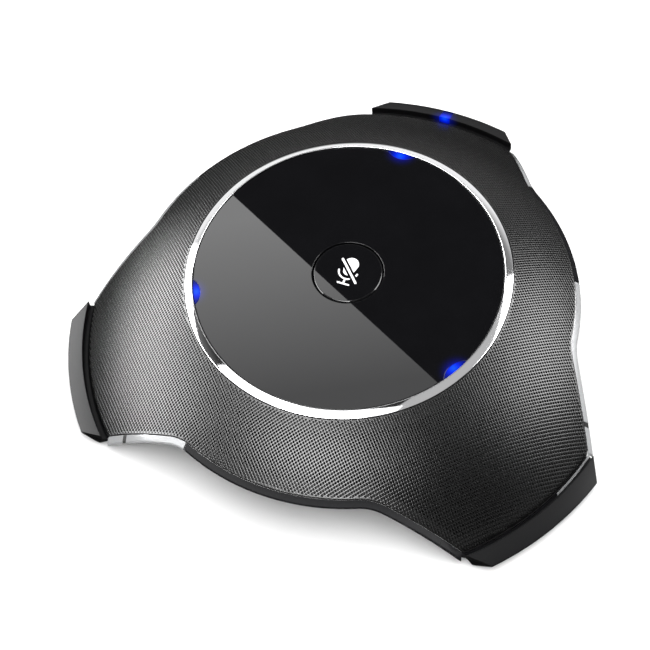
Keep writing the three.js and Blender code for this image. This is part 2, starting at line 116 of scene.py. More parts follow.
# ---- Outlines
def arc(centre, radius, start, end, count, closed=False):
    """Points on an arc between two angles in radians, without the last one unless closed."""
    angles = np.linspace(start, end, count, endpoint=closed)
    return np.column_stack([np.cos(angles), np.sin(angles)]) * radius + np.asarray(centre, float)


def line(start, end, count):
    """Points on a straight line, without the last one."""
    parts = np.linspace(0, 1, count, endpoint=False)[:, None]
    return np.asarray(start) * (1 - parts) + np.asarray(end) * parts


def rotate(points, degrees):
    """Flat points turned about the axis."""
    turn = radians(degrees)
    matrix = np.array([[cos(turn), sin(turn)], [-sin(turn), cos(turn)]])
    return np.asarray(points) @ matrix


def point_at(radius, degrees):
    """The flat point at a radius and an angle about the axis."""
    return rotate([(radius, 0)], degrees)[0]


def planform(offset):
    """The grille's outline grown by offset: three round sides joined by straight-flanked lobes.
    A point's place in the list is the same at every offset."""
    waist_x = FLANK_DISTANCE + WAIST_FILLET
    waist = (waist_x, sqrt((SIDE_RADIUS + WAIST_FILLET) ** 2 - waist_x**2))
    corner_x = FLANK_DISTANCE - CORNER_FILLET
    corner = (corner_x, sqrt((LOBE_RADIUS - CORNER_FILLET) ** 2 - corner_x**2))
    waist_angle = atan2(waist[1], waist[0])
    corner_angle = atan2(corner[1], corner[0])
    flank = FLANK_DISTANCE + offset
    half = np.vstack([
        arc((0, 0), SIDE_RADIUS + offset, 0, waist_angle, 36),
        arc(waist, WAIST_FILLET - offset, waist_angle + pi, pi, 20),
        line((flank, waist[1]), (flank, corner[1]), 20),
        arc(corner, CORNER_FILLET + offset, 0, corner_angle, 10),
        arc((0, 0), LOBE_RADIUS + offset, corner_angle, pi / 3, 30, closed=True),
    ])
    mirrored = half[:0:-1] * (1, -1)
    side = np.vstack([mirrored, half[:-1]])
    return np.vstack([rotate(side, middle) for middle in SIDES.values()])


def polar(points):
    """Radius and angle in degrees, from 0 to 360, of flat points about the axis."""
    points = np.asarray(points)
    angle = np.degrees(np.arctan2(points[:, 1], points[:, 0])) % 360
    return np.hypot(points[:, 0], points[:, 1]), angle


# ---- Meshes
SAME_PLACE = 1e-6  # points this near to each other, in metres, are one point
NO_LENGTH = 1e-7
SHARP = 1e-4
MOST_OF_SIDE = 0.45  # the most of a side that one rounded corner takes up
SQUARE = ((-1, -1), (1, -1), (1, 1), (-1, 1))
LEVEL = 0.99999  # a face whose normal is this near to upright is shaded flat


def new_mesh(name, vertices, faces):
    """A mesh in the row frame from points in millimetres, with its normals facing out."""
    mesh = bpy.data.meshes.new(name)
    mesh.from_pydata(in_row_frame(vertices).tolist(), [], faces)
    tidy(mesh)
    return mesh


def tidy(mesh):
    """Joins points in the same place and faces every normal out."""
    shape = bmesh.new()
    shape.from_mesh(mesh)
    bmesh.ops.remove_doubles(shape, verts=shape.verts, dist=SAME_PLACE)
    bmesh.ops.dissolve_degenerate(shape, edges=shape.edges, dist=NO_LENGTH)
    bmesh.ops.recalc_face_normals(shape, faces=shape.faces)
    shape.to_mesh(mesh)
    shape.free()


def new_object(name, mesh):
    piece = bpy.data.objects.new(name, mesh)
    bpy.context.scene.collection.objects.link(piece)
    return piece


def grid_faces(rows, columns, closed=False):
    """Four-sided faces over rings of points, each joined to the next, and the last to the first
    if closed."""
    faces = []
    for row in range(rows if closed else rows - 1):
        here = row * columns
        there = (row + 1) % rows * columns
        for column in range(columns):
            across = (column + 1) % columns
            faces.append((here + column, here + across, there + across, there + column))
    return faces


def swept(name, sections, closed=False):
    """A solid through a row of sections, each a closed loop of the same number of points."""
    sections = np.asarray(sections, float)
    rows, columns = sections.shape[:2]
    faces = grid_faces(rows, columns, closed)
    if not closed:
        faces.append(tuple(range(columns)))
        faces.append(tuple((rows - 1) * columns + i for i in range(columns)))
    return new_mesh(name, sections.reshape(-1, 3), faces)


def lathe(name, profile, segments):
    """A solid of revolution about the axis. The profile is a closed loop of (radius, height)."""
    profile = np.asarray(profile, float)
    sections = []
    for angle in np.linspace(0, 2 * pi, segments, endpoint=False):
        x = profile[:, 0] * cos(angle)
        y = profile[:, 0] * sin(angle)
        sections.append(np.column_stack([x, y, profile[:, 1]]))
    return swept(name, sections, closed=True)


def rounded(points, radii, steps):
    """A closed flat loop with each corner rounded by its own radius, or all by the same one."""
    points = [Vector(p) for p in points]
    if not hasattr(radii, "__len__"):
        radii = [radii] * len(points)
    result = []
    for i, corner in enumerate(points):
        before = points[i - 1] - corner
        after = points[(i + 1) % len(points)] - corner
        reach = min(radii[i], before.length * MOST_OF_SIDE, after.length * MOST_OF_SIDE)
        if reach < SHARP:
            result.append(corner)
            continue
        start = corner + before.normalized() * reach
        end = corner + after.normalized() * reach
        for step in range(steps + 1):
            t = step / steps
            result.append(start * (1 - t) ** 2 + corner * (2 * t * (1 - t)) + end * t**2)
    return np.array([tuple(p) for p in result])


def final_mesh(holder):
    """What an object's modifiers or curve come to, as a mesh. The object itself is deleted."""
    graph = bpy.context.evaluated_depsgraph_get()
    mesh = bpy.data.meshes.new_from_object(holder.evaluated_get(graph))
    bpy.data.objects.remove(holder)
    return mesh


def plate(name, outlines, low, high, bevel=0.0, bevel_steps=0):
    """A flat plate with the given outlines, the inner ones holes, its edges rounded by bevel."""
    curve = bpy.data.curves.new(name, "CURVE")
    curve.dimensions = "2D"
    curve.fill_mode = "BOTH"
    for outline in outlines:
        spline = curve.splines.new("POLY")
        spline.points.add(len(outline) - 1)
        for point, (x, y) in zip(spline.points, outline):
            point.co = (x, y, 0, 1)
        spline.use_cyclic_u = True
    curve.bevel_depth = bevel
    curve.bevel_resolution = bevel_steps
    curve.offset = -bevel
    curve.extrude = (high - low) / 2 - bevel
    mesh = final_mesh(new_object(name + "_curve", curve))
    mesh.name = name
    mesh.transform(Matrix.Translation((0, 0, (low + high) / 2)))
    mesh.transform(Matrix.Translation(AXIS) @ Matrix.Scale(MM, 4))
    tidy(mesh)
    return mesh


def box(name, width, depth, height, x, y, z):
    """A box centred on x, y that stands on height z, as a tool for cutting."""
    corners = [(x + sx * width / 2, y + sy * depth / 2, z + sz * height)
               for sz in (0, 1) for sx, sy in SQUARE]
    faces = [(0, 1, 2, 3), (4, 5, 6, 7), (0, 1, 5, 4), (1, 2, 6, 5), (2, 3, 7, 6), (3, 0, 4, 7)]
    return new_mesh(name, corners, faces)


def turned(mesh, degrees, shift=(0, 0, 0)):
    """The mesh moved by shift in millimetres and then turned about the axis."""
    about = Matrix.Translation(AXIS) @ Matrix.Rotation(radians(degrees), 4, "Z")
    mesh.transform(about @ Matrix.Translation(Vector(shift) * MM) @ Matrix.Translation(-AXIS))
    return mesh


def combined(mesh, others, operation):
    """mesh joined with, cut by or kept inside the other meshes."""
    for other in others:
        piece = new_object("boolean_body", mesh)
        tool = new_object("boolean_tool", other)
        modifier = piece.modifiers.new("combine", "BOOLEAN")
        modifier.operation = operation
        modifier.solver = "EXACT"
        modifier.object = tool
        mesh = final_mesh(piece)
        bpy.data.objects.remove(tool)
    return mesh


def add_piece(name, mesh, slot, nodes, body="base", material=None, smooth_angle=35):
    """Shows the mesh in place of the CAD nodes, riding on their body. It has its slot's finish
    unless another is given."""
    mesh.materials.clear()
    mesh.materials.append(material or MATERIALS[slot])
    mesh.shade_smooth()
    if smooth_angle:
        mesh.set_sharp_from_angle(angle=radians(smooth_angle))
        for face in mesh.polygons:
            if abs(face.normal.z) > LEVEL:
                face.use_smooth = False
    mesh.name = name
    piece = new_object(name, mesh)
    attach(piece, body)
    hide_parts(*nodes)
    return piece


# ---- Materials
def fill_ramp(node, stops):
    """Gives a ramp its stops, each a position from 0 to 1 and a colour."""
    elements = node.color_ramp.elements
    while len(elements) < len(stops):
        elements.new(0.5)
    for element, (position, colour) in zip(elements, stops):
        element.position = position
        element.color = (*colour, 1)


class Nodes:
    """A material's node tree, with short calls for the nodes that the finishes use."""

    def __init__(self, name):
        self.material = bpy.data.materials.new(name)
        self.material.use_nodes = True
        self.tree = self.material.node_tree
        self.shader = self.tree.nodes["Principled BSDF"]
        self.place = self.add("ShaderNodeTexCoord").outputs["Object"]

    def add(self, kind, **settings):
        node = self.tree.nodes.new(kind)
        for key, value in settings.items():
            setattr(node, key, value)
        return node

    def link(self, output, target):
        self.tree.links.new(output, target)

    def put(self, socket, value):
        """Sets a socket of the shader, or links it where the value is a node's output."""
        target = self.shader.inputs[socket]
        if isinstance(value, bpy.types.NodeSocket):
            self.link(value, target)
        else:
            target.default_value = value

    def noise(self, size, detail, roughness=0.5):
        """Noise whose features are about size millimetres across."""
        node = self.add("ShaderNodeTexNoise")
        self.link(self.place, node.inputs["Vector"])
        node.inputs["Scale"].default_value = 1 / (size * MM)
        node.inputs["Detail"].default_value = detail
        node.inputs["Roughness"].default_value = roughness
        return node.outputs["Fac"]

    def remap(self, value, low, high, to_low, to_high):
        node = self.add("ShaderNodeMapRange")
        self.link(value, node.inputs["Value"])
        for key, number in (("From Min", low), ("From Max", high), ("To Min", to_low), ("To Max", to_high)):
            node.inputs[key].default_value = number
        return node.outputs["Result"]

    def math(self, operation, first, second=None):
        node = self.add("ShaderNodeMath", operation=operation)
        for socket, value in zip(node.inputs, (first, second)):
            if isinstance(value, (int, float)):
                socket.default_value = value
            elif value is not None:
                self.link(value, socket)
        return node.outputs["Value"]

    def distance_to(self, point, flat=True):
        """Distance in metres from a point of the row frame, seen from above if flat."""
        away = self.add("ShaderNodeVectorMath", operation="SUBTRACT")
        self.link(self.place, away.inputs[0])
        away.inputs[1].default_value = point
        shape = self.add("ShaderNodeVectorMath", operation="MULTIPLY")
        self.link(away.outputs["Vector"], shape.inputs[0])
        shape.inputs[1].default_value = (1, 1, 0 if flat else 1)
        length = self.add("ShaderNodeVectorMath", operation="LENGTH")
        self.link(shape.outputs["Vector"], length.inputs[0])
        return length.outputs["Value"]

    def ramp(self, value, stops):
        node = self.add("ShaderNodeValToRGB")
        self.link(value, node.inputs["Fac"])
        fill_ramp(node, stops)
        return node.outputs["Color"]

    def bump(self, height, depth):
        """A bump of depth millimetres."""
        node = self.add("ShaderNodeBump")
        node.inputs["Strength"].default_value = 1
        node.inputs["Distance"].default_value = depth * MM
        self.link(height, node.inputs["Height"])
        self.put("Normal", node.outputs["Normal"])


CLOUD_SIZE = 14.0
NOISE_LOW = 0.3  # most of a noise texture's values lie between these two
NOISE_HIGH = 0.7


def shade(colour, factor):
    """The colour made lighter or darker."""
    return tuple(min(1.0, c * factor) for c in colour)


def finish(name, colour, roughness, metallic=0.0, grain=0.3, grain_depth=0.0, spread=0.05, mottle=0.1):
    """A plain finish: its colour varies slowly by mottle, its roughness by spread,
    and its surface has a grain so many millimetres across and deep."""
    nodes = Nodes(name)
    cloud = nodes.noise(CLOUD_SIZE, 3.0)
    stops = [(NOISE_LOW, shade(colour, 1 - mottle)), (NOISE_HIGH, shade(colour, 1 + mottle))]
    nodes.put("Base Color", nodes.ramp(cloud, stops))
    nodes.put("Metallic", metallic)
    fine = nodes.noise(grain, 4.0, 0.6)
    low, high = max(roughness - spread, 0.0), roughness + spread
    nodes.put("Roughness", nodes.remap(fine, NOISE_LOW, NOISE_HIGH, low, high))
    if grain_depth:
        nodes.bump(fine, grain_depth)
    return nodes


CAP_COLOUR = (0.004, 0.004, 0.0043)
CAP_ROUGHNESS = 0.38
CAP_SPECULAR = 0.15
GLOW_PLACE = 61.5  # how far from the axis the painted glow on the panel at a status light is centred
GLOW_REACH = 10.5
GLOW_FALL = 3.2
GLOW_STRENGTH = 0.6


def grille_finish():
    """Steel sheet painted satin black."""
    nodes = finish("satin_black_steel", (0.002, 0.002, 0.0021), 0.22, grain=0.25, spread=0.04, mottle=0.12)
    nodes.put("IOR", 1.65)
    return nodes.material


def panel_finish():
    """Piano black, with a blue glow painted on it round each status light."""
    nodes = finish("piano_black_painted_glow", (0.003, 0.003, 0.0035), 0.008, grain=0.5, spread=0.006)
    glow = None
    for light in LIGHTS.values():
        spot = Vector((*point_at(GLOW_PLACE, light), PANEL_TOP))
        away = nodes.distance_to(AXIS + spot * MM)
        fall = nodes.remap(away, 0.0, GLOW_REACH * MM, 1.0, 0.0)
        fall.node.interpolation_type = "SMOOTHSTEP"
        strength = nodes.math("POWER", fall, GLOW_FALL)
        glow = strength if glow is None else nodes.math("MAXIMUM", glow, strength)
    # painted glow: the panel itself emits blue light near each status light
    nodes.put("Emission Color", (0.0, 0.012, 1.0, 1))
    nodes.put("Emission Strength", nodes.math("MULTIPLY", glow, GLOW_STRENGTH))
    return nodes.material


def chrome_finish(name, colour, roughness, metallic=1.0):
    """Polished plating with faint unevenness."""
    nodes = finish(name, colour, roughness, metallic, grain=0.8, spread=0.015, mottle=0.02)
    return nodes.material


def light_finish(name, centre, reach):
    """A lit blue lens, brightest at its centre."""
    nodes = finish(name, (0.0, 0.003, 0.04), 0.2)
    nodes.put("Specular IOR Level", 0.1)
    away = nodes.distance_to(centre, flat=False)
    near = nodes.remap(away, 0.0, reach * MM, 1.0, 0.0)
    nodes.put("Emission Color", nodes.ramp(near, [
        (0.0, (0.0, 0.0, 0.03)),
        (0.35, (0.0, 0.003, 0.25)),
        (0.65, (0.0, 0.015, 0.8)),
        (1.0, (0.004, 0.1, 1.0)),
    ]))
    nodes.put("Emission Strength", 1.0)
    return nodes.material


def plastic(name, colour, roughness, grain_depth=0.012, specular=0.5):
    """Moulded plastic or rubber with a fine spark-eroded grain."""
    nodes = finish(name, colour, roughness, grain=0.35, grain_depth=grain_depth, spread=0.06)
    nodes.put("Specular IOR Level", specular)
    return nodes.material


MATERIALS = {
    "housing_plastic": plastic("housing_black", (0.01, 0.01, 0.011), 0.5),
    "frame_plastic": plastic("frame_black", (0.03, 0.03, 0.032), 0.55),
    "grille_metal": grille_finish(),
    "acoustic_felt": finish("black_felt", (0.002, 0.002, 0.002), 0.95, grain=0.15,
                            grain_depth=0.05).material,
    "bright_trim": chrome_finish("polished_trim", (0.74, 0.75, 0.76), 0.1, 0.6),
    "bright_ring": chrome_finish("polished_ring", (0.93, 0.93, 0.94), 0.05),
    "cap_plastic": plastic("cap_black", CAP_COLOUR, CAP_ROUGHNESS, specular=CAP_SPECULAR),
    "gloss_panel": panel_finish(),
    "icon_white": plastic("white_inlay", (0.85, 0.85, 0.86), 0.35, 0.002),
    "led_white": plastic("led_body", (0.8, 0.8, 0.74), 0.4, 0.004),
    "rubber_inner": plastic("silicone", (0.05, 0.05, 0.05), 0.8),
    "rubber_foot": plastic("foot_rubber", (0.03, 0.03, 0.031), 0.85, 0.03),
    "steel": finish("plated_steel", (0.6, 0.6, 0.61), 0.3, 1.0, grain_depth=0.004).material,
    "screw_steel": finish("dark_zinc", (0.3, 0.3, 0.31), 0.32, 1.0, grain_depth=0.004).material,
    "circuit_board": finish("solder_mask", (0.015, 0.11, 0.05), 0.3, grain=1.2, grain_depth=0.01,
                            mottle=0.25).material,
    "magnet": finish("ferrite", (0.05, 0.05, 0.052), 0.6, 0.2, grain_depth=0.02).material,
    "paper_cone": finish("pressed_paper", (0.035, 0.034, 0.033), 0.85, grain=0.5,
                         grain_depth=0.03).material,
    "socket_plastic": plastic("socket_black", (0.03, 0.03, 0.03), 0.4),
}
# a near-black glossy finish that paints a dark reflection onto the trim where the plating shows dark
PAINTED_DARK_REFLECTION = finish("trim_painted_dark_reflection", (0.008, 0.008, 0.009), 0.12, grain=0.6, spread=0.02).material
HOLE_WALL = finish("hole_wall", (0.002, 0.002, 0.002), 0.7, grain=0.2).material


# ---- Grille: a square lattice of round holes, its threads at 45 degrees to the lobes
MESH_PITCH = 1.04
MESH_TURN = 45
HOLE_RADIUS = 0.44
HOLE_DEPTH = 0.5
HOLE_SIDES = 8
LEAST_HOLE = 0.15
EDGE_MARGIN = 0.1
SNAP_MARGIN = 0.15 * MESH_PITCH
BAND_INSIDE = 2.5 * MESH_PITCH  # a point this near to the outline has its nearest place worked out
BAND_OUTSIDE = 3 * MESH_PITCH
RIM_LEAN = 0.22  # how far a hole's rim leans inwards, as a share of upright
GRILLE_INNER = RING_RADIUS + 0.4
SEAT_LIP = 0.2
SEAT_WIDTH = 4.0
EDGE_DEPTH = 0.05  # depths below the dome: the seat's edge, its lip, and its top and bottom
LIP_DEPTH = 0.3
SEAT_TOP = 0.6
SEAT_BOTTOM = 0.8


def outline_radius(angles):
    """Radius of the grille's edge at angles in degrees."""
    radii, at = polar(planform(0))
    order = np.argsort(at)
    return np.interp(angles, at[order], radii[order], period=360)


def nearest_on_outline(points):
    """The outline's nearest point to each of the points."""
    start = planform(0)
    step = np.roll(start, -1, axis=0) - start
    nearest = []
    for point in points:
        along = np.clip(((point - start) * step).sum(1) / (step**2).sum(1), 0, 1)
        candidates = start + step * along[:, None]
        nearest.append(candidates[np.argmin(((candidates - point) ** 2).sum(1))])
    return np.array(nearest).reshape(-1, 2)


def on_dome(points, depth=0.0):
    """Flat points raised to the dome, or to a depth below it."""
    points = np.asarray(points)
    radius = np.hypot(points[:, 0], points[:, 1])
    return np.column_stack([points, dome_height(radius, depth)])


def lattice():
    """The lattice's corners, snapped to the grille's edges, its cells, the middle of each cell, and
    the radius of its hole, which is less near an edge and nought where a hole has no room."""
    reach = int(LOBE_RADIUS / MESH_PITCH) + 2
    steps = np.arange(-reach, reach + 1)
    rows, columns = np.meshgrid(steps, steps, indexing="ij")
    corners = rotate(np.column_stack([rows.ravel(), columns.ravel()]) * MESH_PITCH, MESH_TURN)
    moved, inside, _ = snapped(corners, SNAP_MARGIN)
    size = len(steps)
    number = np.arange(size * size).reshape(size, size)
    cells = np.column_stack([number[:-1, :-1].ravel(), number[1:, :-1].ravel(),
                             number[1:, 1:].ravel(), number[:-1, 1:].ravel()])
    cells = cells[inside[cells].any(1)]
    middles = corners[cells].mean(1)
    _, middle_inside, middle_gap = snapped(middles, 0.0)
    room = np.where(middle_inside, middle_gap - EDGE_MARGIN, 0)
    radii = np.where(room > LEAST_HOLE, np.minimum(room, HOLE_RADIUS), 0)
    return moved, cells, middles, radii


def snapped(points, margin):
    """The points with those outside the grille, or nearer to an edge than margin, moved to that
    edge, then which were left alone, and how far each is from an edge if it is near one."""
    radius, angle = polar(points)
    edge = outline_radius(angle)
    near = np.flatnonzero((radius > edge - BAND_INSIDE) & (radius < edge + BAND_OUTSIDE))
    target = nearest_on_outline(points[near])
    gap = np.full(len(points), np.inf)
    gap[near] = np.hypot(*(target - points[near]).T)
    gap = np.minimum(gap, np.abs(radius - GRILLE_INNER))
    inside = (radius < edge) & (radius > GRILLE_INNER) & (gap > margin)
    moved = points.copy()
    moved[near] = np.where(inside[near, None], points[near], target)
    inner = (radius <= GRILLE_INNER + margin) & ~inside
    moved[inner] = points[inner] * (GRILLE_INNER / np.maximum(radius[inner], 1e-6))[:, None]
    return moved, inside, gap


def dome_normal(points):
    """Unit normals of the dome above flat points."""
    place = on_dome(points) - (0, 0, DOME_CENTRE)
    return place / DOME_RADIUS


def grille_sector(name, corners, cells, middles, radii):
    """One third of the grille. Each hole has a wall, and its rim's normals lean into it, so that
    the threads between the holes look round."""
    used = np.unique(cells)
    local = np.full(len(corners), -1)
    local[used] = np.arange(len(used))
    vertices = [on_dome(corners[used])]
    normals = [dome_normal(corners[used])]
    faces = []
    walls = []
    total = len(used)
    turn = np.arange(HOLE_SIDES) * 2 * pi / HOLE_SIDES - radians(90)
    spoke = np.column_stack([np.cos(turn), np.sin(turn)])
    inward = np.column_stack([-spoke, np.zeros(HOLE_SIDES)])
    for cell, middle, radius in zip(local[cells].tolist(), middles, radii):
        if not radius:
            faces.append(tuple(cell))
            walls.append(False)
            continue
        rim = spoke * radius + middle
        up = dome_normal(middle[None])[0]
        vertices.append(on_dome(rim))
        vertices.append(on_dome(rim, HOLE_DEPTH))
        leaning = up + inward * RIM_LEAN
        normals.append(leaning / np.linalg.norm(leaning, axis=1)[:, None])
        normals.append(inward)
        top = [total + i for i in range(HOLE_SIDES)]
        low = [total + HOLE_SIDES + i for i in range(HOLE_SIDES)]
        total += 2 * HOLE_SIDES
        for side in range(4):
            p, q = cell[side], cell[(side + 1) % 4]
            near, between, far = (top[(2 * side + step) % HOLE_SIDES] for step in range(3))
            faces += [(p, q, between), (p, between, near), (q, far, between)]
            walls += [False] * 3
        for i in range(HOLE_SIDES):
            after = (i + 1) % HOLE_SIDES
            faces.append((top[i], top[after], low[after], low[i]))
            walls.append(True)
    mesh = bpy.data.meshes.new(name)
    mesh.from_pydata(in_row_frame(np.vstack(vertices)).tolist(), [], faces)
    return mesh, np.vstack(normals), walls


def grille_rim():
    """The sheet's outer and inner edges by name, and which way each one's seat reaches under it."""
    outer = planform(0)
    angle = np.linspace(0, 2 * pi, 256, endpoint=False)
    inner = np.column_stack([np.cos(angle), np.sin(angle)]) * GRILLE_INNER
    return {"outer": (outer, -1), "inner": (inner, 1)}


def build_grille():
    """The perforated sheet in three parts, and a dark seat under each of its edges, so that
    nothing shows through the holes there."""
    corners, cells, middles, radii = lattice()
    angle = polar(middles)[1]
    for name, lobe in LOBES.items():
        mine = (angle - lobe + 60) % 360 < 120
        sector = (corners, cells[mine], middles[mine], radii[mine])
        mesh, normals, walls = grille_sector(f"grille_{name}", *sector)
        piece = add_piece(f"grille_{name}", mesh, "grille_metal", ["mesh_grille"], smooth_angle=None)
        mesh.materials.append(HOLE_WALL)
        mesh.polygons.foreach_set("material_index", np.array(walls, np.int32))
        mesh.normals_split_custom_set_from_vertices(normals.tolist())
        piece.data.update()
    for name, (edge, inward) in grille_rim().items():
        radius = np.hypot(edge[:, 0], edge[:, 1])
        lip = edge * (1 + inward * SEAT_LIP / radius)[:, None]
        seat = edge * (1 + inward * SEAT_WIDTH / radius)[:, None]
        loops = [on_dome(edge, EDGE_DEPTH), on_dome(edge, SEAT_BOTTOM), on_dome(seat, SEAT_BOTTOM),
                 on_dome(seat, SEAT_TOP), on_dome(lip, SEAT_TOP), on_dome(lip, LIP_DEPTH)]
        mesh = swept("seat", np.stack(loops, axis=1), closed=True)
        add_piece(f"grille_edge_{name}", mesh, "grille_metal", ["mesh_grille"], material=HOLE_WALL)


# ---- Bright trim
# spans, in degrees, where each side's trim carries a painted dark reflection instead of its bright plating
PAINTED_DARK_REFLECTION_SPANS = {"front": (246.3, 309.3), "right": (24, 56), "left": (124, 156)}
STRIP_WIDTH = SLOT_INNER - LOBE_RADIUS
STRIP_END = 6  # where the painted dark reflection on the strip along the right lobe's slot ends and the strip turns bright, in degrees from its middle
TRIM_TOP_INNER = 0.25  # depths of the inner and outer edges of the trim's top below the dome
TRIM_TOP_OUTER = 0.5
TRIM_ROUNDING = 0.3
TRIM_LOWEST = 1.8
LEAST_TURN = 0.05  # in degrees, from an end of a length of trim to the section next to it
SEAM_RECESS = 0.15


def trim_section(outer):
    """Offset and depth of the trim's section: a gently sloping top between two upright sides."""
    edge = min(TRIM_ROUNDING, (outer - TRIM_INNER) * 0.25)
    corners = [(TRIM_INNER, TRIM_DEPTH), (TRIM_INNER, TRIM_TOP_INNER), (outer, TRIM_TOP_OUTER),
               (outer, TRIM_DEPTH)]
    return rounded(corners, [0, 0, edge, 0.2], 4)


def trim_length(name, first, last, outer):
    """The trim between two angles in degrees, out to an offset of outer from the outline."""
    base = planform(0)
    normal = planform(1) - base
    along = (polar(base + normal)[1] - first) % 360
    span = (last - first) % 360
    between = np.sort(along[(along > LEAST_TURN) & (along < span - LEAST_TURN)])
    stops = np.concatenate([[0], between, [span]])
    order = np.argsort(along)
    columns = np.column_stack([base, normal])[order].T
    path = np.column_stack([np.interp(stops, along[order], column, period=360) for column in columns])
    sections = []
    for x, y, across_x, across_y in path:
        section = []
        for offset, depth in trim_section(outer):
            point = (x + across_x * offset, y + across_y * offset)
            height = max(dome_height(hypot(*point), depth), TRIM_LOWEST)
            section.append((*point, height))
        sections.append(section)
    return swept(name, sections)


def add_trim(node, lengths):
    """Adds a node's lengths of trim, each from its first angle to its last."""
    for number, (first, last, outer, material) in enumerate(lengths):
        if last <= first:
            continue
        piece = f"{node}_{number}"
        mesh = trim_length(piece, first, last, outer)
        add_piece(piece, mesh, "bright_trim", [node], material=material)


def build_trim():
    """Three side lengths and three lobe lengths, with dark fillers in the seams between them."""
    bright = MATERIALS["bright_trim"]
    for name, middle in SIDES.items():
        half = 60 - SEAM - SEAM_HALF
        dark_reflection_from, dark_reflection_to = PAINTED_DARK_REFLECTION_SPANS[name]
        add_trim(f"side_trim_{name}", [
            (middle - half, dark_reflection_from - SEAM_HALF, TRIM_OUTER, bright),
            (dark_reflection_from, dark_reflection_to, TRIM_OUTER, PAINTED_DARK_REFLECTION),
            (dark_reflection_to + SEAM_HALF, middle + half, TRIM_OUTER, bright),
        ])
    for name, lobe in LOBES.items():
        half = SEAM - SEAM_HALF
        filler = TRIM_OUTER - SEAM_RECESS
        seams = [(at - SEAM_HALF, at + SEAM_HALF, filler, HOLE_WALL) for at in (lobe - SEAM, lobe + SEAM)]
        turn = lobe + (STRIP_END if name == "right" else SLOT_HALF)
        add_trim(f"tip_trim_{name}", seams + [
            # painted dark reflection: the right lobe's corner, and each slot's strip up to where it turns
            # bright
            (lobe - half, lobe - SLOT_HALF, TRIM_OUTER, PAINTED_DARK_REFLECTION if name == "right" else bright),
            (lobe - SLOT_HALF, turn, STRIP_WIDTH, PAINTED_DARK_REFLECTION),
            (turn, lobe + SLOT_HALF, STRIP_WIDTH, bright),
            (lobe + SLOT_HALF, lobe + half, TRIM_OUTER, bright),
        ])


# ---- End caps
CAP_TUCK = 106.9  # how far in the cap's foot reaches, under the grille's edge
CAP_BOTTOM = 1.7
CAP_TOP = 8.8
SLOT_FLOOR = 5.4
CAP_SPOT = (0, CAP_INNER + 0.6, 8.2)  # the brightest place of the light in the rear cap
CAP_LENS_REACH = 5.5
# reach, fall and strength of the blue glow painted on the rear cap round its light
CAP_GLOW_REACH = 7.5
CAP_GLOW_FALL = 2.5
CAP_GLOW_STRENGTH = 0.5
NOTCH_GAP = 0.1
NOTCH_FLOOR = 4.9


def cap_profile():
    """The cap's section as radius and height: a foot, a leaning face and a slanted top."""
    points = [(CAP_TUCK, CAP_BOTTOM), (113.6, CAP_BOTTOM), (118.2, 4.1), (CAP_OUTER, 5.25),
              (CAP_INNER, CAP_TOP), (CAP_INNER, SLOT_FLOOR), (109.5, SLOT_FLOOR), (CAP_TUCK, 2.0)]
    return rounded(points, [0.05, 0.6, 0.5, 0.4, 0.45, 0.1, 0.1, 0.05], 4)


def cap_wedge(radius):
    """Half the cap's angle at a radius: its ends are cut at a slant."""
    slant = (CAP_INNER_HALF - CAP_OUTER_HALF) / (CAP_OUTER - CAP_INNER)
    return CAP_INNER_HALF - (radius - CAP_INNER) * slant


def end_cap(lobe):
    profile = cap_profile()
    sections = []
    for part in np.linspace(-1, 1, 61):
        section = []
        for radius, height in profile:
            turn = radians(lobe + part * cap_wedge(max(radius, CAP_INNER)))
            section.append((radius * cos(turn), radius * sin(turn), height))
        sections.append(section)
    mesh = swept("cap", sections)
    if lobe == LOBES["rear"]:
        width = 2 * (CAP_LIGHT_HALF + NOTCH_GAP)
        notch = turned(box("notch", 8, width, 10, 114.2, 0, NOTCH_FLOOR), lobe)
        mesh = combined(mesh, [notch], "DIFFERENCE")
    return mesh


def cap_light():
    """The lens let into the rear cap, with the cap's own section."""
    profile = rounded([(CAP_INNER + 0.02, 5.0), (118.0, 5.0), (118.05, 5.36), (CAP_INNER + 0.02, 8.75)],
                      [0.1, 0.1, 0.25, 0.35], 4)
    sections = []
    for x in np.linspace(-CAP_LIGHT_HALF, CAP_LIGHT_HALF, 9):
        sections.append([(x, sqrt(r**2 - x**2), z) for r, z in profile])
    return swept("cap_light", sections)


def painted_glow_cap_finish():
    """The cap's own finish, with a blue glow painted over its top round the light in it."""
    nodes = finish("cap_black_painted_glow", CAP_COLOUR, CAP_ROUGHNESS, grain=0.35, grain_depth=0.012, spread=0.06)
    nodes.put("Specular IOR Level", CAP_SPECULAR)
    away = nodes.distance_to(in_row_frame([CAP_SPOT])[0], flat=False)
    near = nodes.remap(away, 0.0, CAP_GLOW_REACH * MM, 1.0, 0.0)
    nodes.put("Emission Color", (0.0, 0.02, 1.0, 1))
    glow = nodes.math("MULTIPLY", nodes.math("POWER", near, CAP_GLOW_FALL), CAP_GLOW_STRENGTH)
    nodes.put("Emission Strength", glow)
    return nodes.material


def build_caps():
    for name, lobe in LOBES.items():
        material = painted_glow_cap_finish() if name == "rear" else MATERIALS["cap_plastic"]
        add_piece(f"cap_{name}", end_cap(lobe), "cap_plastic", [f"end_cap_{name}"], material=material)
    lens = light_finish("cap_light_blue", in_row_frame([CAP_SPOT])[0], CAP_LENS_REACH)
    add_piece("cap_lens", cap_light(), "blue_light", ["cap_light_rear"], material=lens)


# ---- Ring, panel, lights and button
RING_INNER = 60.9
RING_TOP = 47.45
PANEL_EDGE = 0.22
LIGHT_GAP = 0.1
LENS_BOTTOM = 43.8
LENS_PLACE = 59.4  # how far from the axis a status light is brightest
LENS_REACH = 6.0
BUTTON_GAP = 0.4


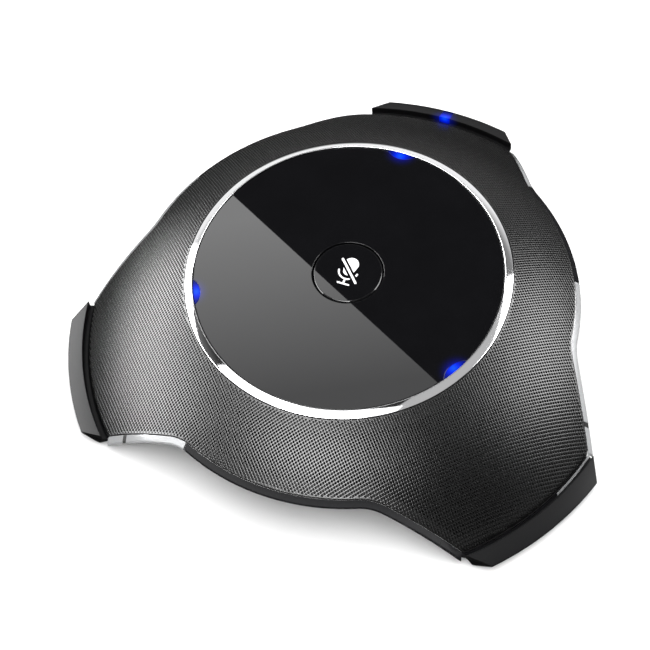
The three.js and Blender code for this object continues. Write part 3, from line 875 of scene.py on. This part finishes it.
def build_ring():
    """A ring whose face slopes up towards the panel."""
    profile = rounded([(RING_INNER, PANEL_BOTTOM), (63.4, PANEL_BOTTOM), (RING_RADIUS, 45.5),
                       (RING_RADIUS, 46.05), (RING_INNER + 0.25, RING_TOP), (RING_INNER, RING_TOP - 0.15)],
                      [0.05, 0.3, 0.2, 0.2, 0.2, 0.1], 5)
    ring = lathe("chrome_ring", profile, 288)
    add_piece("chrome_ring", ring, "bright_ring", ["bezel_ring"], smooth_angle=50)


def crossing(radius):
    """Half the angle, in radians, at which a light's circle of that radius meets the panel's edge,
    and the angle at the circle's own centre."""
    cosine = (PANEL_RADIUS**2 + LIGHT_CENTRE**2 - radius**2) / (2 * PANEL_RADIUS * LIGHT_CENTRE)
    half = acos(cosine)
    at = atan2(PANEL_RADIUS * sin(half), LIGHT_CENTRE - PANEL_RADIUS * cos(half))
    return half, at


def panel_outline():
    """The panel's round edge with a bay for each status light."""
    half, at = crossing(LIGHT_RADIUS + LIGHT_GAP)
    points = []
    order = sorted(LIGHTS.values())
    for light, following in zip(order, order[1:] + [order[0] + 360]):
        centre = point_at(LIGHT_CENTRE, light)
        middle = radians(light) + pi
        points.append(arc(centre, LIGHT_RADIUS + LIGHT_GAP, middle + at, middle - at, 16))
        start, end = radians(light) + half, radians(following) - half
        points.append(arc((0, 0), PANEL_RADIUS, start, end, 150))
    return np.vstack(points)


def lens_outline(light):
    half, at = crossing(LIGHT_RADIUS)
    centre = point_at(LIGHT_CENTRE, light)
    middle = radians(light) + pi
    inner = arc(centre, LIGHT_RADIUS, middle + at, middle - at, 32)
    outer = arc((0, 0), PANEL_RADIUS, radians(light) + half, radians(light) - half, 16)
    return np.vstack([inner, outer])


def build_panel():
    hole = arc((0, 0), BUTTON_RADIUS + BUTTON_GAP, 0, 2 * pi, 128)
    mesh = plate("touch_glass", [panel_outline(), hole], PANEL_BOTTOM, PANEL_TOP, PANEL_EDGE, 4)
    add_piece("touch_glass", mesh, "gloss_panel", ["touch_panel"])
    for name, light in LIGHTS.items():
        mesh = plate(f"lens_{name}", [lens_outline(light)], LENS_BOTTOM, PANEL_TOP - 0.05, 0.1, 2)
        spot = in_row_frame([(*point_at(LENS_PLACE, light), PANEL_TOP)])[0]
        lit = light_finish(f"lens_blue_{name}", spot, LENS_REACH)
        add_piece(f"lens_{name}", mesh, "blue_light", [f"status_light_{name}"], material=lit)


HEAD_TOP = (0, 3.95)  # the middles and radii of the icon's egg-shaped head
HEAD_BOTTOM = (0, 0.7)
HEAD_TOP_RADIUS = 2.95
HEAD_BOTTOM_RADIUS = 2.1
CRADLE = (0, 0.75)
CRADLE_OUTER = 4.15
CRADLE_INNER = 3.5
CRADLE_START = 1.02 * pi
CRADLE_END = 1.98 * pi
STROKE = 0.7
STEM = (2.4, STROKE, 0, -4.3, 90)  # length, width, place and turn
STAND = (5.2, STROKE, 0, -5.4, 0)
STRIKE = (13.3, 0.9, 0.2, 0.8, 134)
STRIKE_MARGIN = 0.85


def bar(length, width, x, y, degrees, grow):
    """A stroke with round ends, widened by grow all round."""
    radius = width / 2 + grow
    reach = length / 2 - width / 2
    ends = np.vstack([
        arc((reach, 0), radius, -pi / 2, pi / 2, 12, closed=True),
        arc((-reach, 0), radius, pi / 2, 1.5 * pi, 12, closed=True),
    ])
    return rotate(ends, degrees) + (x, y)


def icon_head(grow):
    """The microphone's head: wide and round at the top, narrower at the bottom."""
    lean = asin((HEAD_TOP_RADIUS - HEAD_BOTTOM_RADIUS) / (HEAD_TOP[1] - HEAD_BOTTOM[1]))
    low_start, low_end = pi + lean, 2 * pi - lean
    return np.vstack([
        arc(HEAD_TOP, HEAD_TOP_RADIUS + grow, -lean, pi + lean, 28, closed=True),
        arc(HEAD_BOTTOM, HEAD_BOTTOM_RADIUS + grow, low_start, low_end, 20, closed=True),
    ])


def icon_outlines(grow):
    """The microphone's strokes: head, cradle, stem and stand."""
    cradle = np.vstack([
        arc(CRADLE, CRADLE_OUTER + grow, CRADLE_START, CRADLE_END, 28, closed=True),
        arc(CRADLE, CRADLE_INNER - grow, CRADLE_END, CRADLE_START, 28, closed=True),
    ])
    return [icon_head(grow), cradle, bar(*STEM, grow), bar(*STAND, grow)]


def icon_mesh(name, grow, low, high, bevel):
    """The struck-through microphone. The strike has a dark margin on each side."""
    strokes = [plate(f"{name}_{i}", [outline], low, high, bevel, 1)
               for i, outline in enumerate(icon_outlines(grow))]
    margin = plate(f"{name}_margin", [bar(*STRIKE, STRIKE_MARGIN - grow)], low - 1, high + 1)
    cut = combined(combined(strokes[0], strokes[1:], "UNION"), [margin], "DIFFERENCE")
    return combined(cut, [plate(f"{name}_strike", [bar(*STRIKE, grow)], low, high, bevel, 1)], "UNION")


KEY_BOTTOM = 43.35
KEY_STEM = 3
KEY_FLANGE = 15.2  # the key's rim under the panel, which keeps it in
KEY_FLANGE_BOTTOM = 44.1
KEY_CHAMFER = 0.6
POCKET_GAP = 0.1
POCKET_DEPTH = 0.3
ICON_DEPTH = 0.25
ICON_PROUD = 0.02


def build_button():
    """The key, with the icon let into its top."""
    r, top = BUTTON_RADIUS, PANEL_TOP
    profile = rounded([(0, KEY_BOTTOM), (KEY_STEM, KEY_BOTTOM), (KEY_STEM, KEY_FLANGE_BOTTOM),
                       (KEY_FLANGE, KEY_FLANGE_BOTTOM), (KEY_FLANGE, KEY_FLANGE_BOTTOM + 0.4), (r, 44.7),
                       (r, top - KEY_CHAMFER), (r - KEY_CHAMFER, top), (0, top)],
                      [0, 0.1, 0.1, 0.1, 0.1, 0.2, 0.15, 0.12, 0], 4)
    pocket = icon_mesh("pocket", POCKET_GAP, top - POCKET_DEPTH, top + 2, 0.0)
    key = combined(lathe("key", profile, 160), [pocket], "DIFFERENCE")
    add_piece("mute_key_cap", key, "gloss_panel", ["mute_button"], "mute_key")
    icon = icon_mesh("icon", 0.0, top - ICON_DEPTH, top + ICON_PROUD, 0.03)
    add_piece("mute_symbol", icon, "icon_white", ["mute_icon"], "mute_key")


DOME_FLANGE = 5.5
DOME_FLANGE_HEIGHT = 0.3
DOME_ROOM = 0.35  # the free height under the pill


def build_dome():
    """The silicone dome under the mute key: a flange, a thin sloping skirt and a pill in the middle
    that meets the board when the key is pressed."""
    low, high = (corner.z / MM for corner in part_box("mute_dome"))
    flange = low + DOME_FLANGE_HEIGHT
    room = low + DOME_ROOM
    profile = rounded([(0, room), (1.2, room), (1.4, high - 0.3), (2.7, high - 0.3), (4.2, low),
                       (DOME_FLANGE, low), (DOME_FLANGE, flange), (4.7, flange), (3.4, high), (0, high)],
                      [0, 0.1, 0.1, 0.15, 0.1, 0.08, 0.1, 0.15, 0.2, 0], 4)
    dome = add_piece("silicone_dome", lathe("silicone_dome", profile, 64), "rubber_inner", ["mute_dome"])
    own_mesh(dome)


# ---- Bottom housing
MOST_LEAN = 0.9 * CORNER_FILLET  # leaning in further than this, a lobe's corners would cross
CORNER_BAND = 2
LEAN_EASE = 2.0  # how fast that limit eases off inwards of the corners
OPEN_TOP = -3.0  # a depth above the dome, so that the tub is open


def leaning_loop(edge_offset, heights):
    """The planform at a height for each point, leaning in below the dome's edge."""
    base = planform(0)
    normal = planform(1) - base
    radius = np.hypot(base[:, 0], base[:, 1])
    least = -MOST_LEAN - LEAN_EASE * np.maximum(LOBE_RADIUS - CORNER_BAND - radius, 0)
    offset = np.maximum(edge_offset + (heights - dome_height(radius)) * HOUSING_LEAN, least)
    points = base + normal * offset[:, None]
    return np.column_stack([points, heights])


def tub(edge_offset, low, depth, rounding=0.0):
    """A solid under a sphere concentric with the dome, with the housing's leaning wall."""
    base = planform(0)
    count = len(base)
    top = dome_height(np.hypot(base[:, 0], base[:, 1]) + edge_offset - HOUSING_LEAN * depth, depth)
    levels = np.linspace(0, 1, 9)
    loops = [leaning_loop(edge_offset, low + rounding + (top - low - rounding) * part) for part in levels]
    if rounding:
        foot = loops[0]
        flat = foot[:, :2]
        inward = planform(0) - planform(1)
        for turn in (35, 65, 90):
            drop = rounding * sin(radians(turn))
            shrink = rounding * (1 - cos(radians(turn)))
            ring = flat + inward * shrink
            loops.insert(0, np.column_stack([ring, np.full(count, low + rounding - drop)]))
    crown = []
    outline = loops[-1][:, :2]
    for share in (0.8, 0.55, 0.3):
        inner = outline * share
        crown.append(np.column_stack([inner, dome_height(np.hypot(*inner.T), depth)]))
    loops += crown
    points = np.vstack(loops)
    faces = grid_faces(len(loops), count)
    faces.append(tuple(range(count)))
    faces.append(tuple((len(loops) - 1) * count + i for i in range(count)))
    return new_mesh("tub", points, faces)


def sector_outline(inner, outer, centre, half):
    start, end = radians(centre - half), radians(centre + half)
    return np.vstack([arc((0, 0), outer, start, end, 16, closed=True),
                      arc((0, 0), inner, end, start, 16, closed=True)])


def post(radius, low, high, x, y):
    outline = arc((x, y), radius, 0, 2 * pi, 32)
    return plate("post", [outline], low, high)


POST_FOOT = FLOOR_TOP - 1
POST_RADIUS = 3.6
SPEAKER_POST_PLACE = 42.5
SPEAKER_POST_TOP = 35.3
BOARD_POSTS = [(-30, -12), (30, -12), (0, -33)]
BOARD_POST_RADIUS = 2.6
BOARD_POST_TOP = 17.7
SCREW_WELL_RADIUS = 3.2
SCREW_WELL_TOP = 4.6
SCREW_HOLE_RADIUS = 1.8
POCKET_HALF = 11
POCKET_FRONT = 14
POCKET_BACK = 54
POCKET_ROOF = 16.5
CHANNEL_FRONT = 44
CHANNEL_BACK = 52
CHANNEL_ROOF = 9
FOOT_INNER = 84
FOOT_OUTER = 97
FOOT_HALF = 10
FOOT_RECESS = 0.8
FOOT_GAP = 0.3


def housing():
    """The open tub with its posts, the pocket for the socket, the cable channel and the recesses."""
    outer = tub(HOUSING_EDGE, HOUSING_BOTTOM, TRIM_DEPTH + 0.3, rounding=1.2)
    inner = tub(HOUSING_EDGE - WALL, FLOOR_TOP, OPEN_TOP)
    shell = combined(outer, [inner], "DIFFERENCE")
    length = POCKET_BACK - POCKET_FRONT
    middle = (POCKET_BACK + POCKET_FRONT) / 2
    channel_middle = (CHANNEL_BACK + CHANNEL_FRONT) / 2
    channel_depth = CHANNEL_BACK - CHANNEL_FRONT
    walls = [box("wall", 2 * (POCKET_HALF + WALL), length + 2 * WALL, POCKET_ROOF + WALL - 2, 0, middle, 2)]
    duct = box("wall", 130, channel_depth + 2 * WALL, CHANNEL_ROOF + WALL - 2, 0, channel_middle, 2)
    within = tub(HOUSING_EDGE - WALL / 2, HOUSING_BOTTOM + 0.4, TRIM_DEPTH + 1.5)
    walls.append(combined(duct, [within], "INTERSECT"))
    for turn in (45, 135, 225, 315):
        x, y = point_at(SPEAKER_POST_PLACE, turn)
        walls.append(post(POST_RADIUS, POST_FOOT, SPEAKER_POST_TOP, x, y))
    for x, y in BOARD_POSTS:
        walls.append(post(BOARD_POST_RADIUS, POST_FOOT, BOARD_POST_TOP, x, y))
    cuts = []
    for lobe in LOBES.values():
        x, y = point_at(BASE_SCREW_RADIUS, lobe)
        walls.append(post(POST_RADIUS, POST_FOOT, SPLIT_HEIGHT, x, y))
        cuts.append(post(SCREW_WELL_RADIUS, 0, SCREW_WELL_TOP, x, y))
        cuts.append(post(SCREW_HOLE_RADIUS, 4.0, 30, x, y))
        recess = sector_outline(FOOT_INNER - FOOT_GAP, FOOT_OUTER + FOOT_GAP, lobe, FOOT_HALF + 0.2)
        cuts.append(plate("recess", [recess], 0, HOUSING_BOTTOM + FOOT_RECESS))
    cuts.append(box("pocket", 2 * POCKET_HALF, length, POCKET_ROOF + 5, 0, middle, -5))
    cuts.append(box("channel", 200, channel_depth, CHANNEL_ROOF + 5, 0, channel_middle, -5))
    cuts.append(box("mouth", 13.6, 6, 10.6, 0, POCKET_FRONT, 4.9))
    shell = combined(shell, walls, "UNION")
    return combined(shell, cuts, "DIFFERENCE")


def screw_mesh(lobe):
    """A screw with a six-sided socket in its head, standing head down."""
    profile = rounded([(0, 18.0), (1.2, 18.0), (1.4, 17.0), (1.4, 4.3), (2.8, 4.3), (2.8, 3.2),
                       (1.9, 2.5), (0, 2.5)], [0, 0.1, 0.1, 0.1, 0.2, 0.4, 0.3, 0], 3)
    mesh = lathe("screw", profile, 48)
    corner = arc((0, 0), 1.3, 0, 2 * pi, 6)
    mesh = combined(mesh, [plate("socket", [corner], 1.5, 3.5)], "DIFFERENCE")
    return turned(mesh, lobe, (BASE_SCREW_RADIUS, 0, 0))


def build_base():
    add_piece("bottom_tub", housing(), "housing_plastic", ["bottom_housing"])
    for name, lobe in LOBES.items():
        outline = rounded(sector_outline(FOOT_INNER, FOOT_OUTER, lobe, FOOT_HALF), 0.05, 1)
        mesh = plate(f"pad_{name}", [outline], 0, HOUSING_BOTTOM + FOOT_RECESS - 0.3, 0.35, 3)
        add_piece(f"pad_{name}", mesh, "rubber_foot", [f"foot_{name}"])
        add_piece(f"screw_{name}", screw_mesh(lobe), "screw_steel", [f"base_screw_{name}"])


def dress_frame():
    """The CAD nodes that are kept take their slots' finishes."""
    slots = {entry["node"]: entry["material_slot"] for entry in frame["record"]["subparts"]}
    for name, node in frame["nodes"].items():
        material = MATERIALS.get(slots.get(name), MATERIALS["frame_plastic"])
        node.data.materials.clear()
        node.data.materials.append(material)


# ---- Studio
VIEW_AZIMUTH = 28.24
VIEW_ELEVATION = 58.39
VIEW_ROLL = -8.007
VIEW_DISTANCE = 644.8
AIM = (0, -24.63, RING_HEIGHT)
LENS = 93.39


def direction(azimuth, elevation):
    """From the object towards a place at that azimuth and elevation. Azimuth 0 is the front."""
    a, e = radians(azimuth), radians(elevation)
    return Vector((sin(a) * cos(e), -cos(a) * cos(e), sin(e)))


def build_camera():
    back = direction(VIEW_AZIMUTH, VIEW_ELEVATION)
    data = bpy.data.cameras.new("camera")
    data.lens = LENS
    data.clip_start = 0.01
    data.clip_end = 20
    camera = new_object("camera", data)
    camera.rotation_mode = "QUATERNION"
    camera.location = Vector(in_row_frame([AIM])[0]) + back * (VIEW_DISTANCE * MM)
    level = (-back).to_track_quat("-Z", "Y")
    camera.rotation_quaternion = level @ Quaternion((0, 0, 1), radians(VIEW_ROLL))
    bpy.context.scene.camera = camera
    return camera


def area_light(name, place, aim, width, height, power, glossy=True):
    data = bpy.data.lights.new(name, "AREA")
    data.shape = "RECTANGLE"
    data.size = width
    data.size_y = height
    data.energy = power
    light = new_object(name, data)
    light.location = place
    light.rotation_mode = "QUATERNION"
    light.rotation_quaternion = (Vector(aim) - Vector(place)).to_track_quat("-Z", "Y")
    light.visible_glossy = glossy
    light.visible_camera = False
    return light


def staged(name, corners, material, unseen_by):
    """A four-cornered sheet that belongs to the studio, unseen by some kinds of ray."""
    mesh = bpy.data.meshes.new(name)
    mesh.from_pydata([tuple(corner) for corner in corners], [], [(0, 1, 2, 3)])
    mesh.materials.append(material)
    piece = new_object(name, mesh)
    for ray in unseen_by:
        setattr(piece, f"visible_{ray}", False)


def card(name, corners, near, far, near_strength, far_strength):
    """A glowing card whose strength runs from one point to another."""
    nodes = Nodes(name)
    along = Vector(far) - Vector(near)
    project = nodes.add("ShaderNodeVectorMath", operation="DOT_PRODUCT")
    shift = nodes.add("ShaderNodeVectorMath", operation="SUBTRACT")
    nodes.link(nodes.place, shift.inputs[0])
    shift.inputs[1].default_value = near
    nodes.link(shift.outputs["Vector"], project.inputs[0])
    project.inputs[1].default_value = along / along.length_squared
    strength = nodes.remap(project.outputs["Value"], 0.0, 1.0, near_strength, far_strength)
    emission = nodes.add("ShaderNodeEmission")
    nodes.link(strength, emission.inputs["Strength"])
    nodes.link(emission.outputs["Emission"], nodes.tree.nodes["Material Output"].inputs["Surface"])
    staged(name, corners, nodes.material, ["camera", "shadow"])


CARD_HEIGHT = 1.5  # metres, as are the card's width and how far it runs on past its edge's ends
CARD_WIDTH = 0.45
CARD_MARGIN = 0.25
CARD_NEAR = (-40, 15)  # the places on the panel that mirror the card's two strengths
CARD_FAR = (0, -58)
CARD_STRENGTHS = (4.6, 1.6)
LIT_SIDE = (-40, -40)
SPLIT_LEFT = (-57.4, 19.8)
SPLIT_RIGHT = (49.4, -35.1)


def panel_card(camera):
    """A card overhead whose straight edge is mirrored across the panel, from SPLIT_LEFT to
    SPLIT_RIGHT, with the light on the side towards the front left."""
    eye = np.array(camera.location)
    reach = CARD_HEIGHT / (eye[2] - PANEL_TOP * MM)

    def mirrored(x, y):
        point = in_row_frame([(x, y, PANEL_TOP)])[0]
        away = point - eye
        away[2] = -away[2]
        return Vector(point + away * reach)

    left, right = mirrored(*SPLIT_LEFT), mirrored(*SPLIT_RIGHT)
    edge = (right - left).normalized()
    inward = Vector((edge.y, -edge.x, 0))
    if inward.dot(mirrored(*LIT_SIDE) - left) < 0:
        inward = -inward
    left -= edge * CARD_MARGIN
    right += edge * CARD_MARGIN
    corners = [left, right, right + inward * CARD_WIDTH, left + inward * CARD_WIDTH]
    card("panel_card", corners, mirrored(*CARD_NEAR), mirrored(*CARD_FAR), *CARD_STRENGTHS)


# The studio's brightness from straight down, at 0, past the horizon, at 0.5, to straight up
SKY = [(0.0, 0.03), (0.46, 0.06), (0.5, 1.0), (0.61, 0.9), (0.71, 0.25), (0.85, 0.035), (1.0, 0.025)]
FLOOR_HALF = 6.0
FLOOR_GLOW_START = 0.8  # metres from the object; the floor glows beyond it, so that it ends in white
FLOOR_GLOW_FULL = 2.6


def build_world():
    """A studio that is bright round the horizon and dark overhead."""
    world = bpy.data.worlds.new("studio")
    bpy.context.scene.world = world
    world.use_nodes = True
    tree = world.node_tree
    kinds = ("TexCoord", "SeparateXYZ", "MapRange", "ValToRGB")
    place, split, upward, ramp = (tree.nodes.new("ShaderNode" + kind) for kind in kinds)
    upward.inputs["From Min"].default_value = -1
    tree.links.new(place.outputs["Generated"], split.inputs["Vector"])
    tree.links.new(split.outputs["Z"], upward.inputs["Value"])
    tree.links.new(upward.outputs["Result"], ramp.inputs["Fac"])
    tree.links.new(ramp.outputs["Color"], tree.nodes["Background"].inputs["Color"])
    fill_ramp(ramp, [(position, (grey, grey, grey)) for position, grey in SKY])


def build_floor():
    nodes = finish("pale_paper", (0.9, 0.9, 0.9), 0.9, grain=2.0, mottle=0.005, spread=0.02)
    nodes.put("Specular IOR Level", 0.1)
    nodes.put("Emission Color", (1, 1, 1, 1))
    far = nodes.remap(nodes.distance_to((0, 0, 0)), FLOOR_GLOW_START, FLOOR_GLOW_FULL, 0.0, 1.0)
    nodes.put("Emission Strength", far)
    corners = [(sx * FLOOR_HALF, sy * FLOOR_HALF, 0) for sx, sy in SQUARE]
    staged("floor", corners, nodes.material, ["glossy"])


def around(bearing, distance, height):
    """A place at that bearing, in degrees from +X towards +Y, round the object."""
    turn = radians(bearing)
    return Vector((cos(turn) * distance, sin(turn) * distance, height))


SOFTBOX_AIM = (0, 0, 0.03)


def softbox(name, bearing, distance, height, width, tall, radiance):
    """A lit panel facing the object, seen in its glossy surfaces only."""
    power = radiance * pi * width * tall
    light = area_light(name, around(bearing, distance, height), SOFTBOX_AIM, width, tall, power)
    light.visible_diffuse = False


def flag(name, bearing, distance, width, tall):
    """A black card standing on the floor that keeps the bright horizon out of the glossy parts."""
    centre = around(bearing, distance, tall / 2)
    side = around(bearing + 90, width / 2, 0)
    up = Vector((0, 0, tall / 2))
    corners = [centre + side * sx + up * sy for sx, sy in SQUARE]
    staged(name, corners, HOLE_WALL, ["camera", "diffuse", "shadow"])


def build_studio():
    bpy.context.scene.view_settings.view_transform = "Standard"
    build_world()
    build_floor()
    camera = build_camera()
    panel_card(camera)
    area_light("ceiling", (0.15, 0.1, 1.8), (0, 0, 0), 3.0, 3.0, 116, glossy=False)
    # Bearing in degrees; distance, height above the floor, width and tallness in metres; radiance
    softbox("softbox_left", 187, 1.3, 0.4, 1.5, 0.8, 12.0)
    softbox("softbox_front", 268, 1.1, 1.1, 1.1, 0.55, 14.0)
    softbox("softbox_front_left", 220, 0.7, 0.97, 0.5, 0.5, 5.0)
    softbox("softbox_top", -85, 0.6, 1.2, 1.05, 0.34, 2.2)
    softbox("softbox_top_right", 0, 0.85, 1.15, 1.8, 0.75, 0.45)
    softbox("softbox_right", 30, 1.3, 0.66, 1.1, 0.75, 9.0)
    flag("flag_front_right", -28, 1.2, 1.0, 1.0)


build_grille()
build_trim()
build_caps()
build_ring()
build_panel()
build_button()
build_dome()
build_base()
dress_frame()
build_studio()
